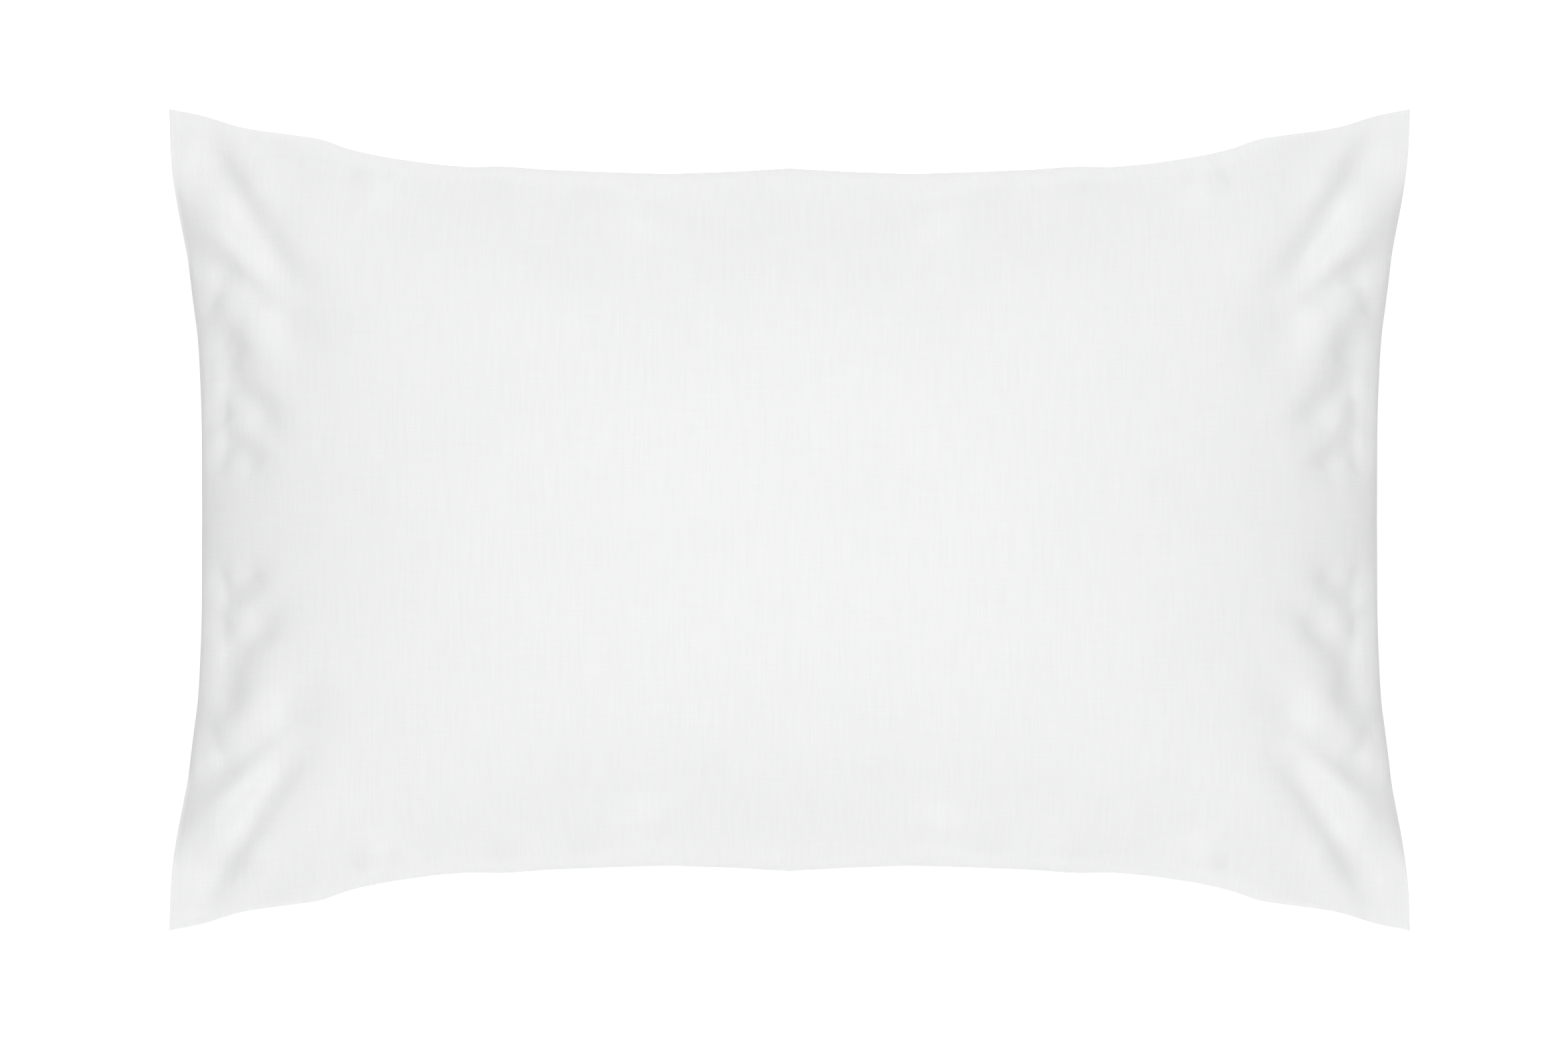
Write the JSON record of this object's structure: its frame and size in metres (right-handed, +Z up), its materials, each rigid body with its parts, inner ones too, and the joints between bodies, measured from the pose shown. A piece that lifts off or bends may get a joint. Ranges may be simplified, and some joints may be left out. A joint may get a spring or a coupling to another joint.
{
  "type": "bed pillow",
  "caption": "Plump rectangular bed pillow: a fibre-filled insert in a plain tuck-flap cotton pillowcase, lying flat.",
  "frame": {"origin": "on the resting face, under the middle of the pillow", "axes": "+X along the pillow, away from the open end of the case; +Y across it; +Z up, through its loft"},
  "size_m": [0.738, 0.488, 0.174],
  "materials": {
    "cotton_percale": "white combed cotton percale, plain weave, matt",
    "sewing_thread": "white spun polyester sewing thread",
    "cotton_ticking": "white cotton ticking, dense plain weave, matt",
    "ticking_thread": "white spun polyester sewing thread",
    "hollow_fibre": "white siliconised polyester hollow fibre, carded",
    "label_tape": "white woven label tape, blank"
  },
  "bodies": {
    "case": {"case_back_panel": "cotton_percale", "case_bar_tacks": "sewing_thread", "case_care_label": "label_tape", "case_closed_end_overlock_thread": "sewing_thread", "case_closed_end_seam_stitching": "sewing_thread", "case_face_panel": "cotton_percale", "case_flap_hem": "cotton_percale", "case_flap_hem_stitching": "sewing_thread", "case_front_overlock_thread": "sewing_thread", "case_front_seam_stitching": "sewing_thread", "case_opening_hem": "cotton_percale", "case_opening_hem_stitching": "sewing_thread", "case_rear_overlock_thread": "sewing_thread", "case_rear_seam_stitching": "sewing_thread", "case_tuck_flap": "cotton_percale"},
    "insert": {"fibre_batt_bottom": "hollow_fibre", "fibre_batt_lower": "hollow_fibre", "fibre_batt_middle": "hollow_fibre", "fibre_batt_top": "hollow_fibre", "fibre_batt_upper": "hollow_fibre", "insert_care_label": "label_tape", "ticking_bottom_panel": "cotton_ticking", "ticking_closing_edge": "cotton_ticking", "ticking_closing_stitching": "ticking_thread", "ticking_front_overlock_thread": "ticking_thread", "ticking_front_seam_stitching": "ticking_thread", "ticking_open_end_overlock_thread": "ticking_thread", "ticking_open_end_seam_stitching": "ticking_thread", "ticking_rear_overlock_thread": "ticking_thread", "ticking_rear_seam_stitching": "ticking_thread", "ticking_top_panel": "cotton_ticking"}
  },
  "joints": [
    {"name": "insert_pull_out", "type": "slide", "parent": "case", "child": "insert", "axis": [-1, 0, 0], "range_m": [0, 0.76], "deforming": ["case_back_panel", "case_bar_tacks", "case_care_label", "case_closed_end_overlock_thread", "case_closed_end_seam_stitching", "case_face_panel", "case_flap_hem", "case_flap_hem_stitching", "case_front_overlock_thread", "case_front_seam_stitching", "case_opening_hem", "case_opening_hem_stitching", "case_rear_overlock_thread", "case_rear_seam_stitching", "case_tuck_flap"]}
  ]
}
